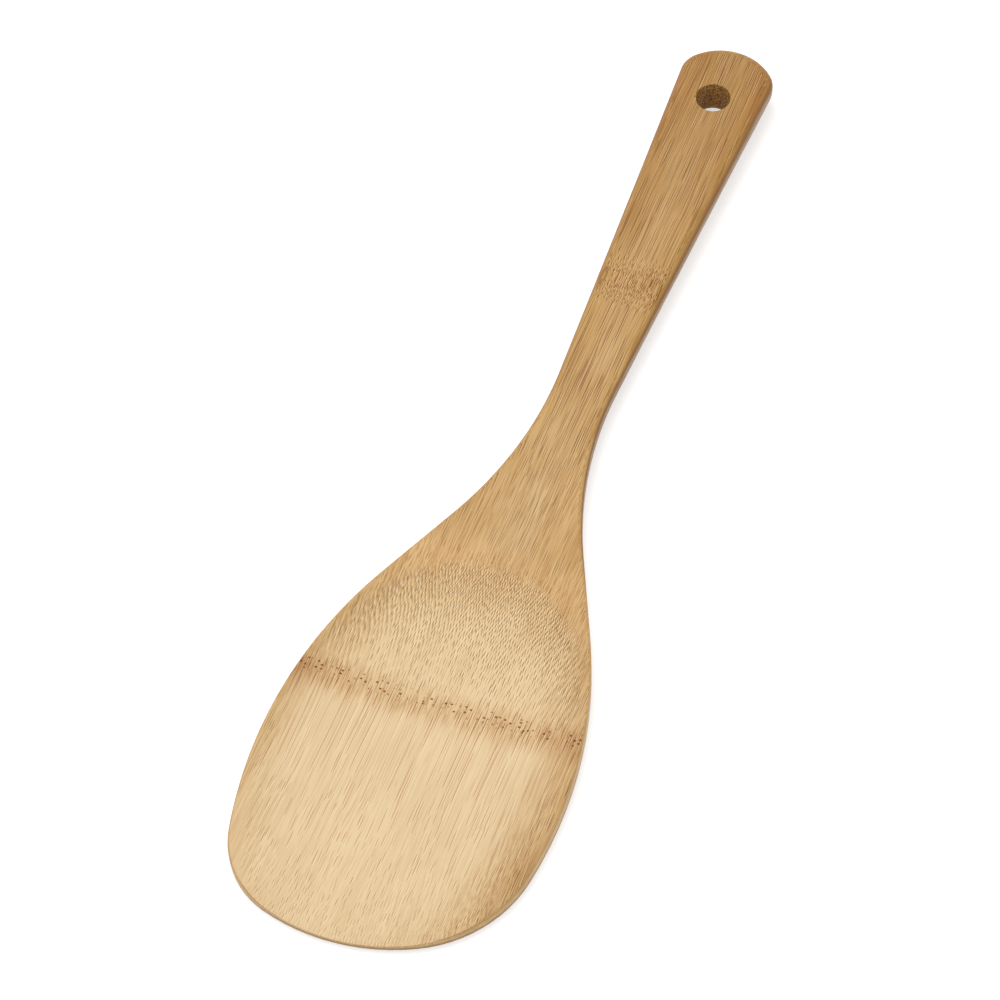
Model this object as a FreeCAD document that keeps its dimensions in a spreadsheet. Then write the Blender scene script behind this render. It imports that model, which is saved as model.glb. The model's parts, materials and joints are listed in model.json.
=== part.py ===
"""Rice paddle of laminated bamboo.

A thick face ply and a thin backing ply are glued face to face with the grain running from tip to butt,
and the glued board is then cut to the paddle's outline, thinned towards the tip, scooped and bored.
So every ply is the slice of one shaped blank that lies between two heights.
The paddle lies on its back: X across, Y from the blade's tip to the handle's butt, Z up from the back.
"""
import FreeCAD, Part
import Sketcher
import math
import os

Vector = FreeCAD.Vector

# name, size in millimetres (angles in degrees), what it measures
SIZES = (
    ("overall_length", 245, "tip of the blade to butt of the handle"),
    ("blade_width", 66, "across the blade where it is widest"),
    ("widest_from_tip", 40.9, "tip to the widest place"),
    ("blade_side_radius", 101, "long round of the blade's sides"),
    ("tip_radius", 44.6, "round of the tip"),
    ("tip_skew", 3.7, "how far left of the axis the tip's lowest point lies"),
    ("tip_corner_left", 19.6, "round from the tip into the left side"),
    ("tip_corner_right", 29, "round from the tip into the right side"),
    ("neck_width", 13.4, "across the neck where it is narrowest"),
    ("neck_radius", 92.5, "hollow round between shoulder and handle"),
    ("shoulder_angle", 24.6, "angle of each straight shoulder to the axis"),
    ("handle_flare", 2.7, "angle of each handle side to the axis"),
    ("butt_crown", 6.5, "how far the butt's round end stands out past its corners"),
    ("butt_corner_spare", 0.7, "how much rounder the butt's corners are than the back's arris"),
    ("tip_thickness", 2.3, "thickness at the tip"),
    ("handle_rise", 1.24, "angle at which the handle's flat face climbs towards the butt"),
    ("shoulder_from_tip", 100, "tip to the end of the handle's flat face"),
    ("blade_swell", 1.1, "how far the blade's face rounds up over a straight climb from tip to shoulder"),
    ("blade_face_round", 0.6, "softened arris of the face round the blade"),
    ("neck_face_round", 1.4, "softened arris of the face at the top of the neck"),
    ("butt_face_round", 2.2, "softened arris of the face at the butt"),
    ("blade_back_round", 0.5, "softened arris of the back round the blade"),
    ("handle_wall", 1.2, "upright wood left between the face's and the back's arris along the handle"),
    ("scoop_from_tip", 93.5, "tip to the top of the scoop's arch"),
    ("scoop_depth", 1.7, "how deep the scoop is cut under the face, at most"),
    ("scoop_radius", 290, "round of the scoop's hollow across the blade"),
    ("hole_diameter", 8, "hanging hole"),
    ("hole_from_butt", 15.9, "butt to the middle of the hanging hole"),
    ("hole_offset", 0.6, "how far left of the axis the hanging hole is drilled"),
    ("hole_round", 0.15, "softened rims of the hanging hole"),
    ("backing_thickness", 1, "thickness of the backing ply"),
    ("glue_thickness", 0.1, "thickness of the glue line"),
    ("overrun", 10, "how far cutting shapes reach past the wood"),
)

# The scoop along the blade: place as a share of scoop_from_tip, depth under the face as a share of scoop_depth.
SCOOP_SHARES = ((1.18, -0.92), (1, 0), (0.82, 0.62), (0.63, 0.96), (0.42, 1), (0.21, 0.81), (-0.06, 0.11))

# thickness at the shoulder and at the butt
STRAIGHT_CLIMB = "tip_thickness + blade_swell + tan( handle_rise * 1 deg ) * "
SHOULDER_THICKNESS = STRAIGHT_CLIMB + "shoulder_from_tip"
BUTT_THICKNESS = STRAIGHT_CLIMB + "overall_length"

# The back's arris at the butt is as round as the wall above it allows, and the outline's corners give it room.
BUTT_BACK_ROUND = BUTT_THICKNESS + " - butt_face_round - handle_wall"
BUTT_CORNER = BUTT_BACK_ROUND + " + butt_corner_spare"

doc = FreeCAD.newDocument("RicePaddle")
sheet = doc.addObject("Spreadsheet::Sheet", "Sizes")
for row, (name, value, note) in enumerate(SIZES, start=1):
    sheet.set("A%d" % row, name)
    sheet.set("B%d" % row, str(value))
    sheet.set("C%d" % row, note)
    sheet.setAlias("B%d" % row, name)
doc.recompute()


def size(name):
    return float(sheet.get(name))


def bound(formula):
    """The formula with each size's name pointing at its cell."""
    words = formula.split()
    names = {entry[0] for entry in SIZES}
    return " ".join("Sizes." + word if word in names else word for word in words)


def worked_out(formula):
    return float(sheet.evalExpression(bound(formula)))


def bind(thing, prop, formula):
    thing.setExpression(prop, bound(formula))


def new_sketch(body, name, role):
    sketch = body.newObject("Sketcher::SketchObject", name)
    plane = next(item for item in body.Origin.OriginFeatures if item.Role == role)
    sketch.AttachmentSupport = [(plane, "")]
    sketch.MapMode = "FlatFace"
    return sketch


def dimension(sketch, kind, places, formula):
    """A driving dimension whose value follows the sheet."""
    value = worked_out(formula)
    if kind == "Angle":
        value = math.radians(value)
        formula = "( " + formula + " ) * 1 deg"
    index = sketch.addConstraint(Sketcher.Constraint(kind, *places, value))
    bind(sketch, "Constraints[%d]" % index, formula)


def line(start, end):
    return Part.LineSegment(start, end)


def arc(centre, start, end):
    """Arc round the centre, anticlockwise from start to end."""
    circle = Part.Circle(centre, Vector(0, 0, 1), (start - centre).Length)
    first, last = circle.parameter(start), circle.parameter(end)
    if last < first:
        last += 2 * math.pi
    return Part.ArcOfCircle(circle, first, last)


def mirrored(point):
    return Vector(-point.x, point.y, point.z)


# how a sketch numbers the points of an item, and its own level and upright axes
START, END, CENTRE = range(1, 4)
LEVEL_AXIS, UPRIGHT_AXIS = range(-1, -3, -1)
ORIGIN = (LEVEL_AXIS, START)


def half_outline(tip_x, corner_radius):
    """Centres and joins down one side of the outline, for a side that lies at positive X."""
    side_radius, neck_radius = size("blade_side_radius"), size("neck_radius")
    side = Vector(size("blade_width") / 2 - side_radius, size("widest_from_tip"))
    tip = Vector(tip_x, size("tip_radius"))

    # The shoulder runs straight for what the two rounds leave of the step from blade to neck.
    lean = math.radians(size("shoulder_angle"))
    outward = Vector(math.cos(lean), math.sin(lean))
    step_in = (size("blade_width") - size("neck_width")) / 2
    run = (step_in - (side_radius + neck_radius) * (1 - math.cos(lean))) / math.sin(lean)
    shoulder_low = side + outward * side_radius
    shoulder_high = shoulder_low + Vector(-math.sin(lean), math.cos(lean)) * run
    neck = shoulder_high + outward * neck_radius

    # The corner's centre is as far from the tip's and the side's centres as touching inside them needs.
    from_tip, from_side = size("tip_radius") - corner_radius, side_radius - corner_radius
    apart = side - tip
    along = (from_tip ** 2 - from_side ** 2 + apart.Length ** 2) / (2 * apart.Length)
    across = math.sqrt(from_tip ** 2 - along ** 2)
    step = apart / apart.Length
    corner = tip + step * along + Vector(-step.y, step.x) * across

    flare = math.radians(size("handle_flare"))
    upward = Vector(math.sin(flare), math.cos(flare))
    inward = Vector(-math.cos(flare), math.sin(flare))
    neck_top = neck + inward * neck_radius

    # The butt's round runs through its crown and the end that the flare has before its corner is rounded.
    crown, butt_corner = size("butt_crown"), worked_out(BUTT_CORNER)
    flare_end = Vector(0, size("overall_length") - crown)
    flare_end.x = neck_top.x + (flare_end.y - neck_top.y) * math.tan(flare)
    butt_radius = (flare_end.x ** 2 + crown ** 2) / (2 * crown)
    butt = Vector(0, size("overall_length") - butt_radius)
    offset = neck_top + inward * butt_corner - butt
    rise = offset.dot(upward)
    climb = -rise + math.sqrt(rise ** 2 - offset.dot(offset) + (butt_radius - butt_corner) ** 2)
    bend = butt + offset + upward * climb

    return {
        "tip": tip, "corner": corner, "side": side, "neck": neck, "bend": bend, "butt": butt,
        "tip_join": tip + (corner - tip).normalize() * size("tip_radius"),
        "side_join": side + (corner - side).normalize() * side_radius,
        "shoulder_low": shoulder_low, "shoulder_high": shoulder_high, "neck_top": neck_top,
        "flare_end": flare_end, "butt_low": bend - inward * butt_corner,
        "butt_high": butt + (bend - butt).normalize() * butt_radius,
    }


def draw_outline(sketch):
    """Paddle seen from above, tip at the origin's height: tangent arcs and lines, anticlockwise from the tip."""
    right = half_outline(-size("tip_skew"), size("tip_corner_right"))
    left = {key: mirrored(point) for key, point in half_outline(size("tip_skew"), size("tip_corner_left")).items()}
    pieces = (
        ("tip", arc(right["tip"], left["tip_join"], right["tip_join"])),
        ("right_corner", arc(right["corner"], right["tip_join"], right["side_join"])),
        ("right_side", arc(right["side"], right["side_join"], right["shoulder_low"])),
        ("right_shoulder", line(right["shoulder_low"], right["shoulder_high"])),
        ("right_neck", arc(right["neck"], right["neck_top"], right["shoulder_high"])),
        ("right_flare", line(right["neck_top"], right["butt_low"])),
        ("right_bend", arc(right["bend"], right["butt_low"], right["butt_high"])),
        ("butt", arc(right["butt"], right["butt_high"], left["butt_high"])),
        ("left_bend", arc(left["bend"], left["butt_high"], left["butt_low"])),
        ("left_flare", line(left["butt_low"], left["neck_top"])),
        ("left_neck", arc(left["neck"], left["shoulder_high"], left["neck_top"])),
        ("left_shoulder", line(left["shoulder_high"], left["shoulder_low"])),
        ("left_side", arc(left["side"], left["shoulder_low"], left["side_join"])),
        ("left_corner", arc(left["corner"], left["side_join"], left["tip_join"])),
    )
    at = {name: sketch.addGeometry(shape) for name, shape in pieces}
    names = [name for name, _ in pieces]
    for name, following in zip(names, names[1:] + names[:1]):
        # the hollow rounds at the neck run the other way about
        leaving = START if name.endswith("neck") else END
        entering = END if following.endswith("neck") else START
        sketch.addConstraint(Sketcher.Constraint("Tangent", at[name], leaving, at[following], entering))

    for name, radius in (("tip", "tip_radius"), ("right_corner", "tip_corner_right"),
                         ("left_corner", "tip_corner_left"), ("right_side", "blade_side_radius"),
                         ("left_side", "blade_side_radius"), ("right_neck", "neck_radius"),
                         ("left_neck", "neck_radius"), ("right_bend", BUTT_CORNER),
                         ("left_bend", BUTT_CORNER)):
        dimension(sketch, "Radius", (at[name],), radius)

    dimension(sketch, "DistanceX", (at["tip"], CENTRE, *ORIGIN), "tip_skew")
    dimension(sketch, "DistanceY", (*ORIGIN, at["tip"], CENTRE), "tip_radius")
    for one, other, spread in (("right_side", "left_side", "2 * blade_side_radius - blade_width"),
                               ("left_neck", "right_neck", "neck_width + 2 * neck_radius")):
        pair = (at[one], CENTRE, at[other], CENTRE)
        sketch.addConstraint(Sketcher.Constraint("Symmetric", *pair, UPRIGHT_AXIS))
        dimension(sketch, "DistanceX", pair, spread)
    dimension(sketch, "DistanceY", (*ORIGIN, at["right_side"], CENTRE), "widest_from_tip")
    dimension(sketch, "Angle", (at["right_shoulder"],), "90 + shoulder_angle")
    sketch.addConstraint(Sketcher.Constraint("PointOnObject", at["butt"], CENTRE, UPRIGHT_AXIS))
    crown = sketch.addGeometry(Part.Point(Vector(0, size("overall_length"))), True)
    flare_end = sketch.addGeometry(Part.Point(right["flare_end"]), True)
    for point, path in ((crown, UPRIGHT_AXIS), (crown, at["butt"]),
                        (flare_end, at["right_flare"]), (flare_end, at["butt"])):
        sketch.addConstraint(Sketcher.Constraint("PointOnObject", point, START, path))
    dimension(sketch, "DistanceY", (*ORIGIN, crown, START), "overall_length")
    dimension(sketch, "DistanceY", (*ORIGIN, flare_end, START), "overall_length - butt_crown")
    dimension(sketch, "Angle", (at["right_flare"],), "90 - handle_flare")
    dimension(sketch, "Angle", (at["left_flare"],), "handle_flare - 90")


def draw_face_cut(sketch):
    """Side view of the wood cut off above the face: a straight handle, then one long round down to the tip."""
    length, over = size("overall_length"), size("overrun")
    shoulder = Vector(size("shoulder_from_tip"), worked_out(SHOULDER_THICKNESS))
    rise = math.tan(math.radians(size("handle_rise")))
    top = worked_out(BUTT_THICKNESS) + 2 * over
    handle_end = Vector(length + over, shoulder.y + rise * (length + over - shoulder.x))
    tip = Vector(0, size("tip_thickness"))

    # The round touches the handle's line at the shoulder and passes through the tip.
    downward = Vector(rise, -1).normalize()
    chord = tip - shoulder
    radius = chord.dot(chord) / (2 * chord.dot(downward))
    centre = shoulder + downward * radius
    past_tip = Vector(-over, centre.y + math.sqrt(radius ** 2 - (over + centre.x) ** 2))

    face = sketch.addGeometry(line(handle_end, shoulder))
    round_ = sketch.addGeometry(arc(centre, shoulder, past_tip))
    front = sketch.addGeometry(line(past_tip, Vector(-over, top)))
    lid = sketch.addGeometry(line(Vector(-over, top), Vector(handle_end.x, top)))
    back = sketch.addGeometry(line(Vector(handle_end.x, top), handle_end))
    tip_point = sketch.addGeometry(Part.Point(tip), True)

    sketch.addConstraint(Sketcher.Constraint("Tangent", face, END, round_, START))
    for one, other in ((round_, front), (front, lid), (lid, back), (back, face)):
        sketch.addConstraint(Sketcher.Constraint("Coincident", one, END, other, START))
    sketch.addConstraint(Sketcher.Constraint("Vertical", front))
    sketch.addConstraint(Sketcher.Constraint("Horizontal", lid))
    sketch.addConstraint(Sketcher.Constraint("Vertical", back))
    sketch.addConstraint(Sketcher.Constraint("PointOnObject", tip_point, START, round_))
    sketch.addConstraint(Sketcher.Constraint("PointOnObject", tip_point, START, UPRIGHT_AXIS))
    dimension(sketch, "DistanceY", (*ORIGIN, tip_point, START), "tip_thickness")
    dimension(sketch, "DistanceX", (*ORIGIN, face, END), "shoulder_from_tip")
    dimension(sketch, "DistanceY", (*ORIGIN, face, END), SHOULDER_THICKNESS)
    dimension(sketch, "DistanceX", (*ORIGIN, face, START), "overall_length + overrun")
    dimension(sketch, "Angle", (face,), "handle_rise - 180")
    dimension(sketch, "DistanceX", (front, START, *ORIGIN), "overrun")
    dimension(sketch, "DistanceY", (*ORIGIN, lid, END), BUTT_THICKNESS + " + 2 * overrun")


def draw_scoop_slice(sketch, place_share, depth_share):
    """The scoop's hollow across the blade at one place: a round below, open to above the face."""
    place = "( %s * scoop_from_tip )" % place_share
    fall = "blade_swell * ( 1 - " + place + " / shoulder_from_tip ) ^ 2"
    centre_height = STRAIGHT_CLIMB + place + " - " + fall + " - %s * scoop_depth + scoop_radius" % depth_share
    bind(sketch, "AttachmentOffset.Base.z", "-1 * " + place)
    half = size("blade_width") / 2 + size("overrun")
    top = worked_out(BUTT_THICKNESS + " + 2 * overrun")
    radius = size("scoop_radius")
    centre = Vector(0, worked_out(centre_height))
    drop = math.sqrt(radius ** 2 - half ** 2)
    low_left, low_right = Vector(-half, centre.y - drop), Vector(half, centre.y - drop)
    high_left, high_right = Vector(-half, top), Vector(half, top)

    hollow = sketch.addGeometry(arc(centre, low_left, low_right))
    right = sketch.addGeometry(line(low_right, high_right))
    lid = sketch.addGeometry(line(high_right, high_left))
    left = sketch.addGeometry(line(high_left, low_left))
    for one, other in ((hollow, right), (right, lid), (lid, left), (left, hollow)):
        sketch.addConstraint(Sketcher.Constraint("Coincident", one, END, other, START))
    for upright in (right, left):
        sketch.addConstraint(Sketcher.Constraint("Vertical", upright))
    sketch.addConstraint(Sketcher.Constraint("Symmetric", left, START, right, END, UPRIGHT_AXIS))
    sketch.addConstraint(Sketcher.Constraint("PointOnObject", hollow, CENTRE, UPRIGHT_AXIS))
    dimension(sketch, "Radius", (hollow,), "scoop_radius")
    dimension(sketch, "DistanceY", (*ORIGIN, hollow, CENTRE), centre_height)
    dimension(sketch, "DistanceX", (left, START, right, END), "blade_width + 2 * overrun")
    dimension(sketch, "DistanceY", (*ORIGIN, right, END), BUTT_THICKNESS + " + 2 * overrun")


def softening(place, stations):
    """Radius of an arris at a place along the paddle, even beyond the stations and evenly graded between them."""
    for (low, low_radius), (high, high_radius) in zip(stations, stations[1:]):
        if place <= low:
            return low_radius
        if place < high:
            return low_radius + (high_radius - low_radius) * (place - low) / (high - low)
    return stations[-1][1]


def soften(name, base, wanted, rounds):
    """Rounds the base's edges that pass the test, by what blade, neck and butt ask for where they lie."""
    doc.recompute()
    marks = half_outline(-size("tip_skew"), size("tip_corner_right"))
    places = [marks[mark].y - size("overall_length") / 2 for mark in ("shoulder_low", "neck_top", "butt_low")]
    stations = list(zip(places, rounds))
    edges = []
    for number, edge in enumerate(base.Shape.Edges, start=1):
        if wanted(edge):
            ends = [softening(place, stations) for place in sorted(corner.Y for corner in edge.Vertexes)]
            # the rounding runs anticlockwise: up the outline's right side and down its left
            if edge.BoundBox.Center.x < 0:
                ends.reverse()
            edges.append((number, ends[0], ends[-1]))
    rounding = doc.addObject("Part::Fillet", name)
    rounding.Base = base
    rounding.Edges = edges
    doc.recompute()
    return rounding


def back_rounds():
    """The back's arris on blade, neck and butt: on the handle it is as round as the wall above it allows."""
    neck_top = half_outline(-size("tip_skew"), size("tip_corner_right"))["neck_top"]
    climb = math.tan(math.radians(size("handle_rise"))) * neck_top.y
    thickness = size("tip_thickness") + size("blade_swell") + climb
    at_neck = thickness - size("neck_face_round") - size("handle_wall")
    return [size("blade_back_round"), at_neck, worked_out(BUTT_BACK_ROUND)]


def new_body(name):
    body = doc.addObject("PartDesign::Body", name)
    bind(body, "Placement.Base.y", "-1 * overall_length / 2")
    return body


def cut_away(name, base, tool):
    cut = doc.addObject("Part::Cut", name)
    cut.Base = base
    cut.Tool = tool
    doc.recompute()
    assert cut.Shape.Volume < base.Shape.Volume, name + " cuts nothing"
    return cut


def make_board():
    """The glued board cut to the outline and thinned towards the tip."""
    body = new_body("Board")
    outline = new_sketch(body, "Outline", "XY_Plane")
    draw_outline(outline)
    board = body.newObject("PartDesign::Pad", "Cut")
    board.Profile = outline
    bind(board, "Length", BUTT_THICKNESS + " + overrun")
    face_side = new_sketch(body, "FaceSide", "YZ_Plane")
    draw_face_cut(face_side)
    doc.recompute()
    thinned = body.newObject("PartDesign::Pocket", "Thinned")
    thinned.Profile = face_side
    thinned.Type = "ThroughAll"
    thinned.SideType = "Symmetric"
    doc.recompute()
    assert thinned.Shape.Volume < board.Shape.Volume, "the face isn't thinned"
    return body


def make_scoop():
    """The wood that the scoop takes away, as a loft through slices across the blade."""
    body = new_body("ScoopedOut")
    slices = []
    for number, shares in enumerate(SCOOP_SHARES, start=1):
        slice_ = new_sketch(body, "ScoopSlice%d" % number, "XZ_Plane")
        draw_scoop_slice(slice_, *shares)
        slices.append(slice_)
    doc.recompute()
    hollow = body.newObject("PartDesign::AdditiveLoft", "Hollow")
    hollow.Profile = slices[0]
    hollow.Sections = slices[1:]
    doc.recompute()
    return body


def make_bore():
    bore = doc.addObject("Part::Cylinder", "Bore")
    for prop, formula in (("Radius", "hole_diameter / 2"), ("Height", BUTT_THICKNESS + " + 2 * overrun"),
                          ("Placement.Base.x", "-1 * hole_offset"),
                          ("Placement.Base.y", "overall_length / 2 - hole_from_butt"),
                          ("Placement.Base.z", "-1 * overrun")):
        bind(bore, prop, formula)
    doc.recompute()
    return bore


def make_blank():
    """The glued board with its arrises softened, scooped and bored, as if it were one solid."""
    board = make_board()
    flat = 1e-6 * size("overall_length")
    face = soften("FaceArris", board, lambda edge: edge.BoundBox.ZMin > flat and edge.BoundBox.YLength > flat,
                  [size(name) for name in ("blade_face_round", "neck_face_round", "butt_face_round")])
    back = soften("BackArris", face, lambda edge: edge.BoundBox.ZMax < flat, back_rounds())
    scooped = cut_away("Scooped", back, make_scoop())
    bored = cut_away("Bored", scooped, make_bore())
    middle, radius = size("overall_length") / 2 - size("hole_from_butt"), size("hole_diameter") / 2

    def on_rim(edge):
        box = edge.BoundBox
        return (abs(box.Center.y - middle) < radius and box.YMax < middle + radius + flat
                and box.XLength > radius)

    return soften("HoleArris", bored, on_rim, [size("hole_round")] * 3)


def make_ply(label, blank, bottom, thickness):
    """The slice of the blank that lies between two heights."""
    slab = doc.addObject("Part::Box", "Slab_" + label)
    for prop, formula in (("Length", "blade_width + 2 * overrun"), ("Width", "overall_length + 2 * overrun"),
                          ("Height", thickness), ("Placement.Base.x", "-1 * ( blade_width / 2 + overrun )"),
                          ("Placement.Base.y", "-1 * ( overall_length / 2 + overrun )"),
                          ("Placement.Base.z", bottom)):
        bind(slab, prop, formula)
    ply = doc.addObject("Part::Common", label)
    ply.Label = label
    ply.Base = blank
    ply.Tool = slab
    return ply


blank = make_blank()
plies = (
    make_ply("back_ply", blank, "0", "backing_thickness"),
    make_ply("glue_line", blank, "backing_thickness", "glue_thickness"),
    make_ply("face_ply", blank, "backing_thickness + glue_thickness", BUTT_THICKNESS + " + overrun"),
)
doc.recompute()

for item in doc.Objects:
    if "Invalid" in item.State or "Error" in item.State:
        raise RuntimeError("%s did not build: %s" % (item.Name, item.State))
for ply in plies:
    if ply.Shape.isNull() or not ply.Shape.isValid() or len(ply.Shape.Solids) != 1:
        raise RuntimeError("%s is not one sound solid" % ply.Label)

os.makedirs("parts", exist_ok=True)
for ply in plies:
    ply.Shape.exportStep("parts/%s.step" % ply.Label)
    box = ply.Shape.optimalBoundingBox()
    print("%s %.1f mm3, %.2f x %.2f x %.2f mm" % (ply.Label, ply.Shape.Volume, box.XLength, box.YLength, box.ZLength))
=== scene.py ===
"""Rice paddle of laminated bamboo, lying face up on a pale floor under soft studio light.

The paddle's three pieces are the plies and the glue line of the frame; this script gives them their finish.
Bamboo is wired as a solid: its fibre bundles run from tip to butt, so a cut along them shows lines and
a slanted cut shows dashes.
"""

import json
import math

import bpy
from mathutils import Matrix, Vector


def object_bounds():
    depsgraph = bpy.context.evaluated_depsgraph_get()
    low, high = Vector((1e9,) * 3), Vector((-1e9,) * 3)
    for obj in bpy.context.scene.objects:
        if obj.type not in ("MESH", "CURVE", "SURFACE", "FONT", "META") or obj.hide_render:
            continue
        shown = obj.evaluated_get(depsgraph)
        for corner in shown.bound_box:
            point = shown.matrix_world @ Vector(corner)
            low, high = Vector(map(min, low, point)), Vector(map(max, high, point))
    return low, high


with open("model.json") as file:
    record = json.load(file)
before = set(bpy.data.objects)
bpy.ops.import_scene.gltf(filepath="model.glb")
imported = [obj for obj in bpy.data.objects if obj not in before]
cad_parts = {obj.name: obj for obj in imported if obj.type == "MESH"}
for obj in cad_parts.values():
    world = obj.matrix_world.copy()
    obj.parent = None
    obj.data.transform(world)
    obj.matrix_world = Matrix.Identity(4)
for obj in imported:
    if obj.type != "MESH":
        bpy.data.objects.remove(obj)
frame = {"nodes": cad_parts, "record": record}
cad_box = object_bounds()

MM = 0.001

# The paddle's own sizes, in millimetres across, from the tip, or up from the back.
PADDLE_LENGTH = round((cad_box[1][1] - cad_box[0][1]) / MM, 2)
TIP_THICKNESS = 2.3
HANDLE_RISE = math.tan(math.radians(1.24))
SHOULDER_FROM_TIP = 100.0
BLADE_SWELL = 1.1
hanging_hole = next(mount for mount in frame["record"]["mounts"] if mount["name"] == "hanging_hole")
HOLE_ACROSS = hanging_hole["pos_m"][0] / MM
HOLE_FROM_TIP = hanging_hole["pos_m"][1] / MM + PADDLE_LENGTH / 2
HOLE_RADIUS = hanging_hole["dims"]["r_mm"]

# Places along the bamboo and how far they reach, in millimetres, and the slant of the blade's node.
BLADE_MIDDLE = 50.0
BLADE_NODE = 57.9
BLADE_NODE_SLANT = 0.026
STAIN_REACH = 6.0
PITS_REACH = 2.4
SCOOP_ARCH = 94.0
ARCH_REACH = 20.0
HANDLE_NODE = 172.6
HANDLE_NODE_REACH = 8.0
MIDLINE = 0.5
MIDLINE_REACH = 8.0

# Stretches of the paddle: where each starts to show and where it shows in full, in millimetres from the tip.
BLADE = (101.0, 88.0)
SCOOP = (46.0, 82.0)
HANDLE = (105.0, 150.0)
BUTT = (160.0, 240.0)
# Where the blade's rim, painted pale to lift its shade, takes over from the handle's walls.
LIGHTENED_RIM = (125.0, 80.0)

# How level the wood is, 1 on the flat and 0 on a wall, where each starts to show and where it shows in full.
LEVEL_FACE = (0.75, 0.97)
# The arris's painted shade, from where it starts to where it is full.
LEVEL_ARRIS_SHADE = (0.88, 0.5)
# The walls' painted shade on the handle and painted light on the blade's rim.
LEVEL_WALL_SHADE_AND_LIGHT = (0.45, 0.15)

# The seam between skin and inside: its tilt across and along the blade, and its twist.
SEAM_TILT_ACROSS = 0.004
SEAM_TILT_ALONG = 0.005
SEAM_TWIST = 0.00026

# Fibre bundles: the pitch in a row, the depth of a row and half a bundle's width, in millimetres,
# half its height in rows, and how far the bundles stray from even rows, 0 to 1.
SCOOP_BUNDLES = {"pitch": 0.60, "row": 0.060, "half_width": 0.10, "half_height": 0.46, "stray": 0.45}
SKIN_BUNDLES = {"pitch": 0.50, "row": 0.056, "half_width": 0.10, "half_height": 0.44, "stray": 0.75}
BACK_BUNDLES = {"pitch": 0.80, "row": 0.25, "half_width": 0.15, "half_height": 0.47, "stray": 0.55}

# A bundle fades from its core to its edge, both as squares of half widths, and its sheath lies so many
# half widths aside. The skin's bundles start elsewhere, so that they don't repeat the scoop's.
BUNDLE_CORE = 0.5
BUNDLE_EDGE = 1.2
SHEATH_ASIDE = 1.8
SKIN_BUNDLES_START = 31.0

# From each place towards the tip, in millimetres, the skin's cut slants more, or less, by this rate.
SKIN_SLANTS = ((125.0, 0.006), (95.0, 0.012), (62.0, -0.014))

# Pits of the blade's node: their pitch across and along in millimetres, and how far they stray, 0 to 1.
PIT_ACROSS = 1.1
PIT_ALONG = 0.9
PIT_STRAY = 0.95

# The floor and the light, in metres, watts and shares of white.
FLOOR_SIZE = 8.0
FLOOR_GAP = 0.05 * MM
FLOOR_GLOW = 0.56
SKY_LIGHT = 0.55
SOFTBOX_SIZE = 1.2
SOFTBOX_POWER = 14.0
SOFTBOX_PLACE = Vector((-0.55, 0.45, 1.5))

# The camera: the spot that it looks at, its distance from there, its angles, and its lens in millimetres.
CAMERA_TARGET = Vector((-8.09, -10.6, 0)) * MM
CAMERA_REACH = 761.31 * MM
CAMERA_AZIMUTH = math.radians(24.29)
CAMERA_ELEVATION = math.radians(55.61)
CAMERA_ROLL = math.radians(-3.45)
SENSOR_WIDTH = 36.0
FOCAL_LENGTH = 126.0


def srgb(red, green, blue):
    """A colour as a screen gives it, 0 to 255, as the light that it stands for."""
    def light(value):
        share = value / 255
        return share / 12.92 if share <= 0.04045 else ((share + 0.055) / 1.055) ** 2.4
    return (light(red), light(green), light(blue), 1.0)


# Colours of the face's skin, at its edges and along its middle, and of the paler wood inside.
NECK_EDGE = srgb(218, 178, 118)
NECK_MIDDLE = srgb(222, 187, 134)
HANDLE_EDGE = srgb(206, 165, 99)
HANDLE_MIDDLE = srgb(213, 174, 116)
BUTT_EDGE = srgb(183, 134, 70)
BUTT_MIDDLE = srgb(190, 147, 86)
BLADE_SKIN = srgb(216, 177, 120)
ARCH_SKIN = srgb(230, 189, 130)
TIP_INSIDE = srgb(242, 214, 168)
SCOOP_INSIDE = srgb(241, 210, 160)
SCOOP_SHEATH = srgb(255, 239, 196)
SKIN_SHEATH = srgb(244, 214, 164)

# Colours of its arrises, walls and bore.
# Painted shade: the handle's arris darkens brown where it rolls over; the blade's arris stays tan.
HANDLE_ARRIS_SHADE = srgb(158, 110, 62)
BLADE_ARRIS = srgb(214, 174, 118)
# Painted shade: the handle's walls are greyed with the cool cast of shade, over their grain.
HANDLE_WALL_SHADE_DARK = srgb(164, 129, 97)
HANDLE_WALL_SHADE_PALE = srgb(204, 171, 137)
# Painted light: the blade's rim wall is made pale to lift its shade, over its grain.
BLADE_RIM_LIGHTENED_DARK = srgb(218, 175, 116)
BLADE_RIM_LIGHTENED_PALE = srgb(248, 213, 158)
BORE_DARK = srgb(128, 88, 38)
BORE_PALE = srgb(232, 182, 104)

# Tints, which multiply the colour under them.
NO_TINT = srgb(255, 255, 255)
FIBRE_TINT = srgb(226, 210, 190)
TIP_DASH_TINT = srgb(188, 104, 32)
SCOOP_DASH_TINT = srgb(152, 102, 36)
STREAK_TINT = srgb(160, 119, 62)
HANDLE_NODE_TINT = srgb(236, 220, 194)
BLADE_NODE_TINT = srgb(206, 168, 112)
PIT_TINT = srgb(158, 114, 70)

# Colours and tints of the back ply, the glue and the floor.
BACK_DARK = srgb(196, 154, 104)
BACK_PALE = srgb(214, 178, 128)
BACK_FIBRE_TINT = srgb(200, 170, 130)
BACK_DASH_TINT = srgb(196, 166, 130)
GLUE_DARK = srgb(132, 98, 62)
GLUE_PALE = srgb(160, 122, 80)
FLOOR_GREY = srgb(222, 222, 222)
WHITE_LIGHT = (1, 1, 1, 1)


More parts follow.
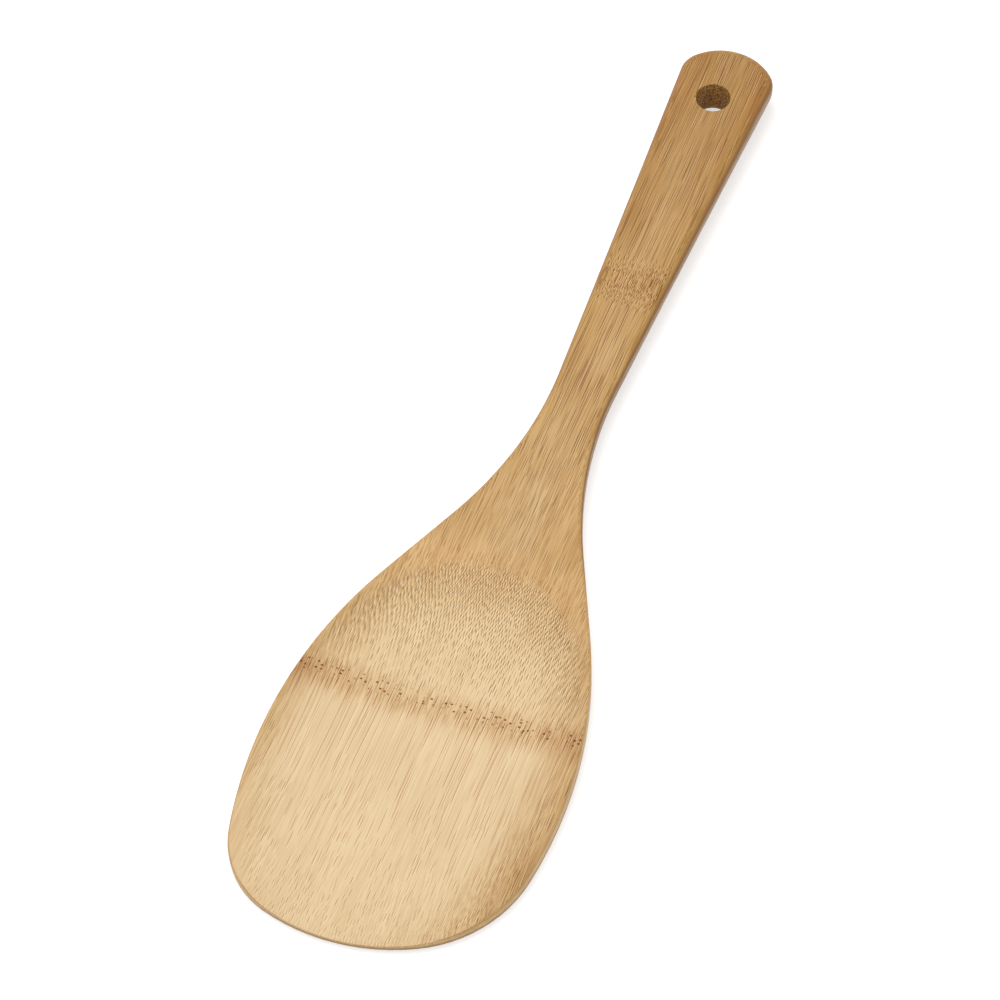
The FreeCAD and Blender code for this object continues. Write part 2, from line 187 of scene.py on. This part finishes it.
class Wire:
    """A shader socket that can stand in a sum."""

    def __init__(self, finish, socket):
        self.finish, self.socket = finish, socket

    def __getitem__(self, output):
        return Wire(self.finish, self.socket.node.outputs[output])

    def __add__(self, other):
        return self.finish.maths("ADD", self, other)

    def __sub__(self, other):
        return self.finish.maths("SUBTRACT", self, other)

    def __rsub__(self, other):
        return self.finish.maths("SUBTRACT", other, self)

    def __mul__(self, other):
        return self.finish.maths("MULTIPLY", self, other)

    def __truediv__(self, other):
        return self.finish.maths("DIVIDE", self, other)

    def __abs__(self):
        return self.finish.maths("ABSOLUTE", self)

    __radd__, __rmul__ = __add__, __mul__


class Finish:
    """The nodes of one material, or of the world."""

    def __init__(self, tree):
        self.tree = tree

    def node(self, kind, settings=None, inputs=None, output=0):
        made = self.tree.nodes.new(kind)
        for name, value in (settings or {}).items():
            setattr(made, name, value)
        for key, value in (inputs or {}).items():
            self.feed(made.inputs[key], value)
        return Wire(self, made.outputs[output])

    def feed(self, socket, value):
        """Links a wire to a socket, or sets the socket to a plain value."""
        if isinstance(value, Wire):
            self.tree.links.new(value.socket, socket)
        else:
            socket.default_value = value

    def maths(self, operation, *values):
        return self.node("ShaderNodeMath", {"operation": operation}, dict(enumerate(values)))

    def most(self, one, other):
        return self.maths("MAXIMUM", one, other)

    def least(self, one, other):
        return self.maths("MINIMUM", one, other)

    def step(self, value, low, high):
        """0 at low, 1 at high, eased between them. High may be the smaller."""
        return self.node("ShaderNodeMapRange", {"interpolation_type": "SMOOTHSTEP"},
                         {"Value": value, "From Min": low, "From Max": high})

    def hump(self, value, middle, reach):
        """1 at the middle, eased to 0 at the reach to either side."""
        return self.step(abs(value - middle), reach, 0.0)

    def short_of(self, value, limit):
        """How far a value falls short of a limit, 0 past it."""
        return self.most(limit - value, 0.0)

    def point(self, x, y, z=0.0):
        return self.node("ShaderNodeCombineXYZ", None, {0: x, 1: y, 2: z})

    def noise(self, where, detail=2.0, rough=0.5):
        """Smooth noise about 0, between -0.5 and 0.5. Its point is each axis times its waves in a
        millimetre. A flat pattern has a plain number as its third axis, so that no two are alike."""
        return self.node("ShaderNodeTexNoise", None,
                         {"Vector": where, "Scale": 1.0, "Detail": detail, "Roughness": rough}) - 0.5

    def scatter(self, across, along, stray, output):
        """Spots strewn on a plane, one to a unit square."""
        return self.node("ShaderNodeTexVoronoi", {"voronoi_dimensions": "2D"},
                         {"Vector": self.point(across, along), "Scale": 1.0, "Randomness": stray}, output)

    def own_number(self, spots):
        """A number from 0 to 1 that each scattered spot has for its own."""
        return self.node("ShaderNodeSeparateColor", None, {0: spots["Color"]})["Red"]

    def mixed(self, share, one, other, way="MIX"):
        return self.node("ShaderNodeMix", {"data_type": "RGBA", "blend_type": way},
                         {0: share, 6: one, 7: other}, 2)

    def tinted(self, share, colour, tint):
        return self.mixed(share, colour, tint, "MULTIPLY")


def new_finish(name):
    """A new material, its nodes and its shader."""
    material = bpy.data.materials.new(name)
    material.use_nodes = True
    return material, Finish(material.node_tree), material.node_tree.nodes["Principled BSDF"]


def lay_on(make, shader, colour, roughness, relief, gloss, strength, depth):
    """Gives a wood's finish to its shader. The relief is so many millimetres deep."""
    make.feed(shader.inputs["Base Color"], colour)
    make.feed(shader.inputs["Roughness"], roughness)
    make.feed(shader.inputs["Specular IOR Level"], gloss)
    bump = make.node("ShaderNodeBump", None,
                     {"Strength": strength, "Distance": depth * MM, "Height": relief})
    make.feed(shader.inputs["Normal"], bump)


def bamboo_axes(make):
    """Millimetres across, along from the tip, and up from the back."""
    spot = make.node("ShaderNodeTexCoord", output="Object")
    axes = make.node("ShaderNodeSeparateXYZ", None, {0: spot})
    return axes["X"] / MM, axes["Y"] / MM + PADDLE_LENGTH / 2, axes["Z"] / MM


def facing_up(make):
    """1 on level wood, 0 on a wall, -1 underneath."""
    outward = make.node("ShaderNodeTexCoord", output="Normal")
    return make.node("ShaderNodeSeparateXYZ", None, {0: outward})["Z"]


def depth_under_skin(make, along, up):
    """How deep a spot lies under the face as it was before the scoop was cut."""
    short_of_shoulder = make.most(1.0 - along / SHOULDER_FROM_TIP, 0.0)
    fall = short_of_shoulder * short_of_shoulder * BLADE_SWELL
    skin = along * HANDLE_RISE + (TIP_THICKNESS + BLADE_SWELL) - fall
    return skin - up


def bundles(make, across, depth, pitch, row, half_width, half_height, stray):
    """Fibre bundles cut by the surface, in rows that are set off by half a pitch from one to the next.
    Gives the masks of the cut bundles and of the pale sheath beside each, and a bundle's own number."""
    slant = depth / (2 * row)
    one, other = across / pitch + slant, across / pitch - slant
    spots = make.scatter(one, other, stray, "Position")
    middle = make.node("ShaderNodeSeparateXYZ", None, {0: spots})
    off_one, off_other = one - middle["X"], other - middle["Y"]
    sideways = (off_one + off_other) * (pitch / 2 / half_width)
    inward = (off_one - off_other) * (1 / half_height)

    def mask(aside):
        off = sideways - aside
        return make.step(off * off + inward * inward, BUNDLE_EDGE, BUNDLE_CORE)

    return mask(0.0), mask(SHEATH_ASIDE), make.own_number(spots)


class FaceSpot:
    """A spot of the face ply: its place on the paddle in millimetres, and its place among the fibres."""

    def __init__(self, make):
        x, along, up = bamboo_axes(make)
        self.x, self.along, self.up = x, along, up
        self.level = facing_up(make)
        self.on_face = make.step(self.level, *LEVEL_FACE)
        self.on_blade = make.step(along, *BLADE)
        self.in_scoop = make.step(along, *SCOOP)
        self.near_arch = make.hump(along, SCOOP_ARCH, ARCH_REACH)

        # Fibres wander sideways, ripple in depth and break, and at the handle's node they are kinked.
        wander = make.noise(make.point(x * 0.08, along * 0.02, up * 0.05))
        ripple = make.noise(make.point(x * 0.16, along * 0.03, 3.7))
        kinks = make.noise(make.point(x * 1.3, along * 0.10, 8.1), 1.0)
        self.at_handle_node = make.hump(along + kinks * 4.0, HANDLE_NODE, HANDLE_NODE_REACH)
        self.across = x + wander * 1.5
        self.cut = depth_under_skin(make, along, up) + ripple * 0.10 + kinks * 0.05
        self.breaks = make.noise(make.point(self.across * 1.5, along * 0.15, 4.4), 1.0)


def skin_colour(make, spot):
    """Tan, browner towards the butt and paler along the handle's middle."""
    middle = make.hump(spot.x, MIDLINE, MIDLINE_REACH)
    neck = make.mixed(middle, NECK_EDGE, NECK_MIDDLE)
    handle = make.mixed(middle, HANDLE_EDGE, HANDLE_MIDDLE)
    butt = make.mixed(middle, BUTT_EDGE, BUTT_MIDDLE)
    skin = make.mixed(make.step(spot.along, *HANDLE), neck, handle)
    skin = make.mixed(make.step(spot.along, *BUTT), skin, butt)
    return make.mixed(spot.on_blade, skin, make.mixed(spot.near_arch, BLADE_SKIN, ARCH_SKIN))


def share_of_inside(make, spot):
    """How far the scoop has cut through the skin into the cream wood inside, 0 to 1."""
    past_middle = spot.along - BLADE_MIDDLE
    seam = spot.x * SEAM_TILT_ACROSS + past_middle * SEAM_TILT_ALONG - spot.x * past_middle * SEAM_TWIST
    # The rim keeps its skin, but less of it towards the tip.
    off_rim = make.step(spot.cut + make.short_of(spot.along, 40.0) * 0.02, -0.25, 0.45)
    blade = (1.0 - 0.3 * spot.near_arch) * spot.on_blade * spot.on_face
    return make.step(spot.cut - seam, -0.5, 1.1) * off_rim * blade


def fibres_and_shade(make, spot):
    """The fine fibres, and the shade that they and broad clouds give the wood, from 0, dark, to 1."""
    cloud = make.noise(make.point(spot.x * 0.14, spot.along * 0.06, 5.3), 3.0)
    fibre = make.noise(make.point(spot.across * 2.4, spot.along * 0.05, spot.cut * 2.0), 2.0, 0.6)
    return fibre, make.step(cloud * 0.5 + fibre, -0.2, 0.2)


def scoop_dashes(make, spot, colour):
    """Coarse bundles where the scoop cuts into the wood: dark dashes, each beside a pale one.
    Towards the tip they are fainter, and the cut slants more, so that they are short again."""
    to_tip = make.short_of(spot.along, 45.0)
    depth = spot.cut + to_tip * to_tip * 0.0002 + spot.breaks * 0.05
    dash, sheath, own = bundles(make, spot.across, depth, **SCOOP_BUNDLES)
    strength = make.maths("POWER", own, 1.3 - 1.1 * spot.in_scoop)
    shown = strength * make.step(spot.cut, -0.03, 0.20) * spot.on_blade * spot.on_face
    colour = make.mixed(sheath * shown * (0.55 + 0.45 * spot.in_scoop), colour, SCOOP_SHEATH)
    dash = dash * shown
    tint = make.mixed(spot.in_scoop, TIP_DASH_TINT, SCOOP_DASH_TINT)
    return make.tinted(dash * (0.58 + 0.42 * spot.in_scoop), colour, tint), dash


def skin_streaks(make, spot, inside, colour):
    """Fine bundles in the skin: long streaks on the handle, shorter ones from the neck to the blade's node,
    and a band of kinked ones at the handle's node."""
    along = spot.along
    slant = sum(make.short_of(along, place) * rate for place, rate in SKIN_SLANTS)
    bulge = spot.at_handle_node * (0.28 + spot.breaks * 0.25)
    depth = spot.cut + along * 0.004 - slant + bulge
    streak, sheath, own = bundles(make, spot.across + SKIN_BUNDLES_START, depth, **SKIN_BUNDLES)
    shown = (0.3 + 0.7 * make.most(own, spot.at_handle_node * 0.8)) * (1.0 - inside) * spot.on_face
    colour = make.tinted(spot.at_handle_node * 0.6, colour, HANDLE_NODE_TINT)
    colour = make.mixed(sheath * shown * (0.5 + 0.4 * spot.at_handle_node), colour, SKIN_SHEATH)
    off_neck = abs(make.step(along, 50.0, 150.0) * 2.0 - 1.0)
    streak = streak * shown * (0.7 + 0.3 * off_neck)
    share = streak * (0.6 + 0.4 * streak + 0.5 * spot.at_handle_node)
    return make.tinted(share, colour, STREAK_TINT), streak


def blade_node(make, spot, dash, colour):
    """The blade's node: strokes that hang from it, a stain that is darker at its ends, and pits in a row."""
    from_node = spot.along - spot.x * BLADE_NODE_SLANT - BLADE_NODE
    ragged = make.noise(make.point(spot.across * 1.6, spot.along * 0.05, 2.0)) * 6.0
    stain = make.hump(from_node + ragged, -1.2, STAIN_REACH)
    at_ends = make.step(abs(spot.x - 6.0), 14.0, 34.0)
    strokes = make.step(make.noise(make.point(spot.across * 4.0, spot.along * 0.16, 6.0)), -0.02, 0.10)
    share = stain * (0.2 + 0.1 * at_ends + strokes * 0.6 + dash * 0.5)
    colour = make.tinted(share, colour, BLADE_NODE_TINT)

    spots = make.scatter(spot.x / PIT_ACROSS, from_node / PIT_ALONG, PIT_STRAY, "Distance")
    pit = make.step(spots, 0.34, 0.12) * make.hump(from_node + ragged * 0.3, 0.0, PITS_REACH)
    pit = make.least(pit * make.step(make.own_number(spots), 0.45, 0.9) * 2.0, 1.0) * spot.on_face
    return make.tinted(pit, colour, PIT_TINT), pit


def arris_and_wall_shade_and_light(make, spot, colour):
    """Painted shade browns the handle's arrises and greys its walls; painted light pales the blade's rim."""
    arris = make.mixed(spot.on_blade, HANDLE_ARRIS_SHADE, BLADE_ARRIS)
    # Painted shade where the handle's arrises roll over.
    colour = make.mixed(make.step(spot.level, *LEVEL_ARRIS_SHADE), colour, arris)
    lines = make.noise(make.point(spot.x * 1.8, spot.along * 0.06, spot.up * 2.4), 3.0, 0.65)
    grain = make.step(lines, -0.22, 0.22)
    # Painted shade: a cool grey cast on the handle's walls.
    handle_wall_shade = make.mixed(grain, HANDLE_WALL_SHADE_DARK, HANDLE_WALL_SHADE_PALE)
    # Painted light: the blade's rim wall made pale to lift its shade.
    blade_rim_lightened = make.mixed(grain, BLADE_RIM_LIGHTENED_DARK, BLADE_RIM_LIGHTENED_PALE)
    wall = make.mixed(make.step(spot.along, *LIGHTENED_RIM), handle_wall_shade, blade_rim_lightened)
    return make.mixed(make.step(spot.level, *LEVEL_WALL_SHADE_AND_LIGHT), colour, wall)


def dark_speckled_bore(make, spot, colour):
    """The bore is a darker brown, speckled where the fibres end."""
    from_hole = make.node("ShaderNodeVectorMath", {"operation": "LENGTH"},
                          {0: make.point(spot.x - HOLE_ACROSS, spot.along - HOLE_FROM_TIP)}, "Value")
    in_hole = make.step(from_hole, HOLE_RADIUS + 0.3, HOLE_RADIUS + 0.05)
    dots = make.noise(make.point(spot.x * 2.4, spot.along * 2.4, spot.up * 2.4), 2.0, 0.7)
    bore = make.mixed(make.step(dots, -0.14, 0.2), BORE_DARK, BORE_PALE)
    return make.mixed(in_hole, colour, bore)


def face_bamboo():
    """The face ply: skin, the wood inside it, fibre bundles, the blade's node, edges and bore."""
    material, make, shader = new_finish("face_bamboo")
    spot = FaceSpot(make)
    inside = share_of_inside(make, spot)
    inside_colour = make.mixed(spot.in_scoop, TIP_INSIDE, SCOOP_INSIDE)
    colour = make.mixed(inside, skin_colour(make, spot), inside_colour)
    fibre, shade = fibres_and_shade(make, spot)
    colour = make.tinted(0.9 - 0.55 * inside, colour, make.mixed(shade, FIBRE_TINT, NO_TINT))
    colour, dash = scoop_dashes(make, spot, colour)
    colour, streak = skin_streaks(make, spot, inside, colour)
    colour, pit = blade_node(make, spot, dash, colour)
    colour = arris_and_wall_shade_and_light(make, spot, colour)
    colour = dark_speckled_bore(make, spot, colour)
    roughness = 0.5 + 0.12 * dash - 0.1 * shade
    relief = fibre * 0.5 - dash - streak * 0.5 - pit
    lay_on(make, shader, colour, roughness, relief, gloss=0.2, strength=0.3, depth=0.06)
    return material


def back_bamboo():
    """The back ply: plain streaked bamboo with faint dashes."""
    material, make, shader = new_finish("back_bamboo")
    x, along, up = bamboo_axes(make)
    wander = make.noise(make.point(x * 0.09 + 40.0, along * 0.02, up * 0.1))
    ripple = make.noise(make.point(x * 0.3 + 11.0, along * 0.04, 1.7), 1.0)
    across = x + wander * 1.8
    depth = up + ripple * 0.4 + 0.6
    dash, _, own = bundles(make, across, depth, **BACK_BUNDLES)
    streak = make.noise(make.point(across * 0.5, along * 0.012, depth * 0.5), 3.0, 0.55)
    fibre = make.noise(make.point(across * 2.4, along * 0.035, depth * 2.0), 3.0, 0.6)
    shade = make.step(fibre, -0.4, 0.4)
    colour = make.mixed(make.step(streak, -0.3, 0.3), BACK_DARK, BACK_PALE)
    colour = make.tinted(0.25, colour, make.mixed(shade, BACK_FIBRE_TINT, NO_TINT))
    colour = make.tinted(dash * (own * 0.6 + 0.4) * 0.45, colour, BACK_DASH_TINT)
    roughness = 0.52 + 0.12 * dash - 0.1 * shade
    relief = fibre * 0.5 - dash * 0.5
    lay_on(make, shader, colour, roughness, relief, gloss=0.3, strength=0.25, depth=0.05)
    return material


def cured_glue():
    """The glue line: brown and a little cloudy."""
    material, make, shader = new_finish("cured_glue")
    x, along, up = bamboo_axes(make)
    cloud = make.noise(make.point(x * 0.6, along * 0.3, up), 3.0)
    make.feed(shader.inputs["Base Color"], make.mixed(make.step(cloud, -0.3, 0.3), GLUE_DARK, GLUE_PALE))
    make.feed(shader.inputs["Roughness"], 0.45 + 0.2 * cloud)
    return material


def white_to_the_eye(make):
    """1 for what the camera sees, straight or through gloss and glass."""
    path = make.node("ShaderNodeLightPath", output="Is Camera Ray")
    return make.least(path + path["Is Glossy Ray"] + path["Is Transmission Ray"], 1.0)


def pale_floor():
    """A matt floor that looks white and keeps the paddle's shadow."""
    bpy.ops.object.select_all(action="DESELECT")
    bpy.ops.mesh.primitive_plane_add(size=FLOOR_SIZE, location=(0, 0, -FLOOR_GAP))
    floor = bpy.context.object
    floor.name = "floor"
    material, make, shader = new_finish("pale_floor")
    shader.inputs["Base Color"].default_value = FLOOR_GREY
    shader.inputs["Roughness"].default_value = 1.0
    shader.inputs["Specular IOR Level"].default_value = 0.0
    strength = white_to_the_eye(make) * FLOOR_GLOW
    glow = make.node("ShaderNodeEmission", None, {"Color": WHITE_LIGHT, "Strength": strength})
    both = make.node("ShaderNodeAddShader", None, {0: Wire(make, shader.outputs[0]), 1: glow})
    make.feed(make.tree.nodes["Material Output"].inputs["Surface"], both)
    floor.data.materials.append(material)


def studio_light():
    """Even white light from all round, and a softbox above the handle's left."""
    world = bpy.data.worlds.new("studio")
    bpy.context.scene.world = world
    world.use_nodes = True
    make = Finish(world.node_tree)
    background = world.node_tree.nodes["Background"]
    background.inputs["Color"].default_value = WHITE_LIGHT
    make.feed(background.inputs["Strength"], SKY_LIGHT + white_to_the_eye(make) * (1.0 - SKY_LIGHT))

    lamp = bpy.data.lights.new("softbox", "AREA")
    lamp.shape, lamp.size, lamp.energy = "SQUARE", SOFTBOX_SIZE, SOFTBOX_POWER
    softbox = bpy.data.objects.new("softbox", lamp)
    bpy.context.scene.collection.objects.link(softbox)
    softbox.location = SOFTBOX_PLACE
    softbox.rotation_euler = (-SOFTBOX_PLACE).to_track_quat("-Z", "Y").to_euler()


def camera_like_the_photograph():
    """Looks down at the paddle from the blade's end, from its right, turned a little about its own axis."""
    ahead = Vector((-math.sin(CAMERA_AZIMUTH) * math.cos(CAMERA_ELEVATION),
                    math.cos(CAMERA_AZIMUTH) * math.cos(CAMERA_ELEVATION),
                    -math.sin(CAMERA_ELEVATION)))
    level = Vector((math.cos(CAMERA_AZIMUTH), math.sin(CAMERA_AZIMUTH), 0))
    upright = level.cross(ahead)
    right = level * math.cos(CAMERA_ROLL) + upright * math.sin(CAMERA_ROLL)
    above = upright * math.cos(CAMERA_ROLL) - level * math.sin(CAMERA_ROLL)
    turned = Matrix((right, above, -ahead)).transposed().to_4x4()
    lens = bpy.data.cameras.new("camera")
    lens.sensor_fit, lens.sensor_width, lens.lens = "HORIZONTAL", SENSOR_WIDTH, FOCAL_LENGTH
    camera = bpy.data.objects.new("camera", lens)
    camera.matrix_world = Matrix.Translation(CAMERA_TARGET - ahead * CAMERA_REACH) @ turned
    bpy.context.scene.collection.objects.link(camera)
    bpy.context.scene.camera = camera


for piece, finish_of in (("face_ply", face_bamboo), ("back_ply", back_bamboo), ("glue_line", cured_glue)):
    mesh = frame["nodes"][piece].data
    mesh.materials.clear()
    mesh.materials.append(finish_of())
pale_floor()
studio_light()
camera_like_the_photograph()
bpy.context.scene.view_settings.view_transform = "Standard"
